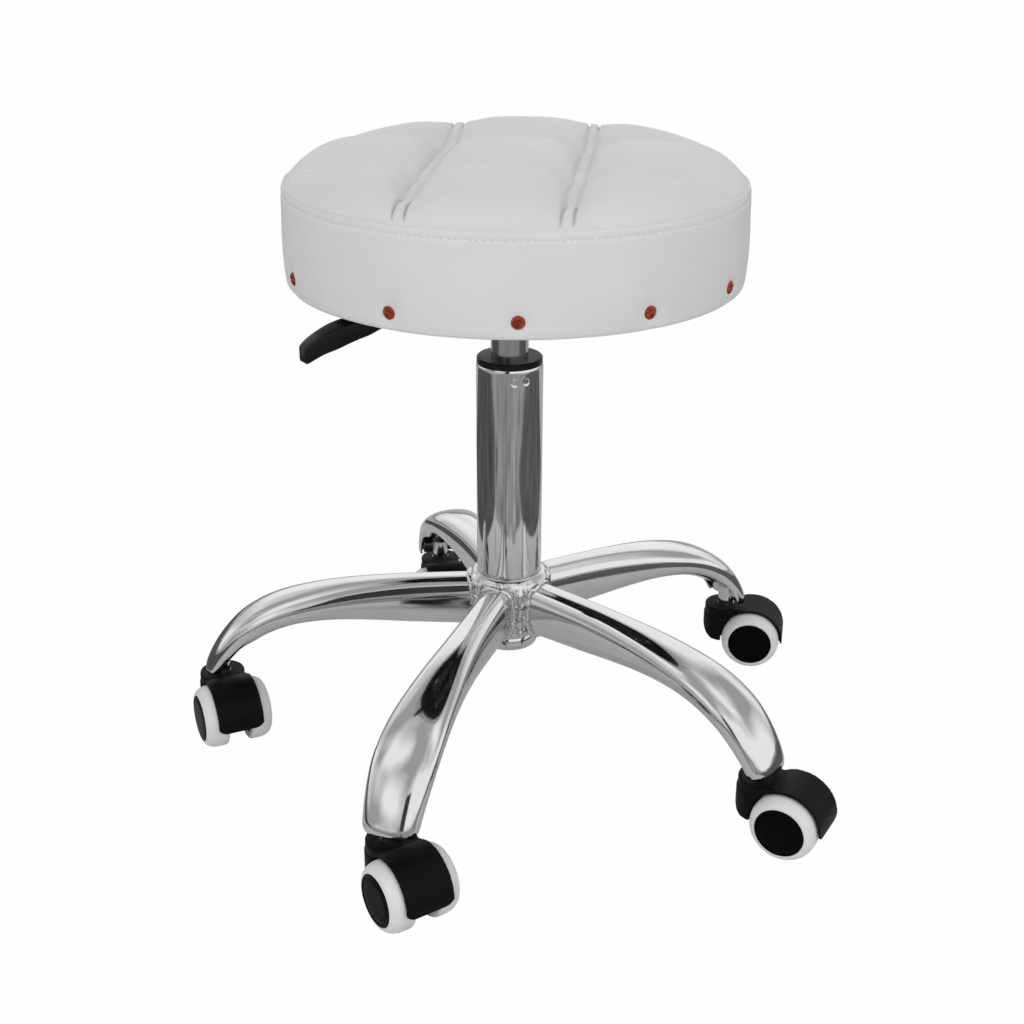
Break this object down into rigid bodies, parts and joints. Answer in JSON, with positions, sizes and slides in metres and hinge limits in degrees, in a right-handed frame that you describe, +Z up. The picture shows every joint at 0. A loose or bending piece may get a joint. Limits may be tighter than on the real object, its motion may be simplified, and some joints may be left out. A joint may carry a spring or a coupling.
{
  "type": "rolling stool",
  "caption": "Round tufted rolling stool on a gas lift with a height lever, a five-arm tube base and twin-wheel casters.",
  "frame": {"origin": "on the floor under the axis of the column", "axes": "+Z up along the column; -Y towards the front, where the picture was taken from; +X to the right in the picture"},
  "size_m": [0.5041, 0.5168, 0.4785],
  "materials": {
    "chrome_base": "polished",
    "chrome_tube": "polished",
    "bright_steel": "satin",
    "dark_steel": "dull",
    "black_steel": "satin black",
    "black_plastic": "satin",
    "black_rubber": "matte",
    "plywood": "plain",
    "dust_cloth": "matte",
    "foam": "matte",
    "cover_leather": "semi-gloss, white",
    "grip_plastic": "satin",
    "caster_plastic": "semi-gloss",
    "wheel_tread": "matte, light grey",
    "wheel_core": "satin black"
  },
  "bodies": {
    "base": {"base_hub": "chrome_base", "arm_1": "chrome_base", "arm_2": "chrome_base", "arm_3": "chrome_base", "arm_4": "chrome_base", "arm_5": "chrome_base", "caster_sockets": "dark_steel", "outer_tube": "chrome_tube", "guide_bush": "black_plastic", "rod_clip": "dark_steel"},
    "piston": {"piston_rod": "bright_steel", "thrust_bearing": "bright_steel", "bump_stop": "black_rubber"},
    "lift": {"gas_cylinder": "chrome_tube", "cylinder_gland": "black_plastic", "valve_body": "bright_steel", "seat_plate": "black_steel", "plate_bolts": "bright_steel", "tee_nuts": "bright_steel", "seat_board": "plywood", "dust_cover": "dust_cloth", "seat_foam": "foam", "side_band": "cover_leather", "piping": "cover_leather", "top_cover": "cover_leather"},
    "lever": {"lever_rod": "black_steel", "lever_grip": "grip_plastic"},
    "pin": {"release_pin": "bright_steel"},
    "caster_1": {"caster_1_hood": "caster_plastic", "caster_1_pins": "bright_steel"},
    "caster_1_wheel_a": {"caster_1_tread_a": "wheel_tread", "caster_1_core_a": "wheel_core"},
    "caster_1_wheel_b": {"caster_1_tread_b": "wheel_tread", "caster_1_core_b": "wheel_core"},
    "caster_2": {"caster_2_hood": "caster_plastic", "caster_2_pins": "bright_steel"},
    "caster_2_wheel_a": {"caster_2_tread_a": "wheel_tread", "caster_2_core_a": "wheel_core"},
    "caster_2_wheel_b": {"caster_2_tread_b": "wheel_tread", "caster_2_core_b": "wheel_core"},
    "caster_3": {"caster_3_hood": "caster_plastic", "caster_3_pins": "bright_steel"},
    "caster_3_wheel_a": {"caster_3_tread_a": "wheel_tread", "caster_3_core_a": "wheel_core"},
    "caster_3_wheel_b": {"caster_3_tread_b": "wheel_tread", "caster_3_core_b": "wheel_core"},
    "caster_4": {"caster_4_hood": "caster_plastic", "caster_4_pins": "bright_steel"},
    "caster_4_wheel_a": {"caster_4_tread_a": "wheel_tread", "caster_4_core_a": "wheel_core"},
    "caster_4_wheel_b": {"caster_4_tread_b": "wheel_tread", "caster_4_core_b": "wheel_core"},
    "caster_5": {"caster_5_hood": "caster_plastic", "caster_5_pins": "bright_steel"},
    "caster_5_wheel_a": {"caster_5_tread_a": "wheel_tread", "caster_5_core_a": "wheel_core"},
    "caster_5_wheel_b": {"caster_5_tread_b": "wheel_tread", "caster_5_core_b": "wheel_core"}
  },
  "joints": [
    {"name": "seat_swivel", "type": "hinge", "parent": "base", "child": "piston", "pos_m": [0, 0, 0.09], "axis": [0, 0, 1], "continuous": true},
    {"name": "seat_lift", "type": "slide", "parent": "piston", "child": "lift", "axis": [0, 0, 1], "range_m": [0, 0.12]},
    {"name": "lever_lift", "type": "hinge", "parent": "lift", "child": "lever", "pos_m": [-0.01638, -0.01147, 0.3745], "axis": [-0.5736, 0.8192, 0], "range_deg": [0, 5], "stiffness_Nm_per_rad": 3},
    {"name": "pin_push", "type": "slide", "parent": "lift", "child": "pin", "axis": [0, 0, 1], "range_m": [-0.00175, 0], "stiffness_N_per_m": 600},
    {"name": "caster_1_swivel", "type": "hinge", "parent": "base", "child": "caster_1", "pos_m": [-0.07909, -0.2197, 0.06], "axis": [0, 0, 1], "continuous": true},
    {"name": "caster_1_wheel_a_spin", "type": "hinge", "parent": "caster_1", "child": "caster_1_wheel_a", "pos_m": [-0.06556, -0.23976, 0.025], "axis": [0.829, 0.5592, 0], "continuous": true},
    {"name": "caster_1_wheel_b_spin", "type": "hinge", "parent": "caster_1", "child": "caster_1_wheel_b", "pos_m": [-0.06556, -0.23976, 0.025], "axis": [0.829, 0.5592, 0], "continuous": true},
    {"name": "caster_2_swivel", "type": "hinge", "parent": "base", "child": "caster_2", "pos_m": [0.1845, -0.14311, 0.06], "axis": [0, 0, 1], "continuous": true},
    {"name": "caster_2_wheel_a_spin", "type": "hinge", "parent": "caster_2", "child": "caster_2_wheel_a", "pos_m": [0.20535, -0.1554, 0.025], "axis": [0.5075, 0.8616, 0], "continuous": true},
    {"name": "caster_2_wheel_b_spin", "type": "hinge", "parent": "caster_2", "child": "caster_2_wheel_b", "pos_m": [0.20535, -0.1554, 0.025], "axis": [0.5075, 0.8616, 0], "continuous": true},
    {"name": "caster_3_swivel", "type": "hinge", "parent": "base", "child": "caster_3", "pos_m": [0.19312, 0.13125, 0.06], "axis": [0, 0, 1], "continuous": true},
    {"name": "caster_3_wheel_a_spin", "type": "hinge", "parent": "caster_3", "child": "caster_3_wheel_a", "pos_m": [0.21684, 0.12642, 0.025], "axis": [0.1994, 0.9799, 0], "continuous": true},
    {"name": "caster_3_wheel_b_spin", "type": "hinge", "parent": "caster_3", "child": "caster_3_wheel_b", "pos_m": [0.21684, 0.12642, 0.025], "axis": [0.1994, 0.9799, 0], "continuous": true},
    {"name": "caster_4_swivel", "type": "hinge", "parent": "base", "child": "caster_4", "pos_m": [-0.06514, 0.22423, 0.06], "axis": [0, 0, 1], "continuous": true},
    {"name": "caster_4_wheel_a_spin", "type": "hinge", "parent": "caster_4", "child": "caster_4_wheel_a", "pos_m": [-0.05929, 0.20075, 0.025], "axis": [0.9703, 0.2419, 0], "continuous": true},
    {"name": "caster_4_wheel_b_spin", "type": "hinge", "parent": "caster_4", "child": "caster_4_wheel_b", "pos_m": [-0.05929, 0.20075, 0.025], "axis": [0.9703, 0.2419, 0], "continuous": true},
    {"name": "caster_5_swivel", "type": "hinge", "parent": "base", "child": "caster_5", "pos_m": [-0.23339, 0.00733, 0.06], "axis": [0, 0, 1], "continuous": true},
    {"name": "caster_5_wheel_a_spin", "type": "hinge", "parent": "caster_5", "child": "caster_5_wheel_a", "pos_m": [-0.22297, -0.01451, 0.025], "axis": [0.9026, 0.4305, 0], "continuous": true},
    {"name": "caster_5_wheel_b_spin", "type": "hinge", "parent": "caster_5", "child": "caster_5_wheel_b", "pos_m": [-0.22297, -0.01451, 0.025], "axis": [0.9026, 0.4305, 0], "continuous": true}
  ],
  "couplings": [
    {"joint": "pin_push", "follows": "lever_lift", "m_per_rad": -0.02}
  ]
}
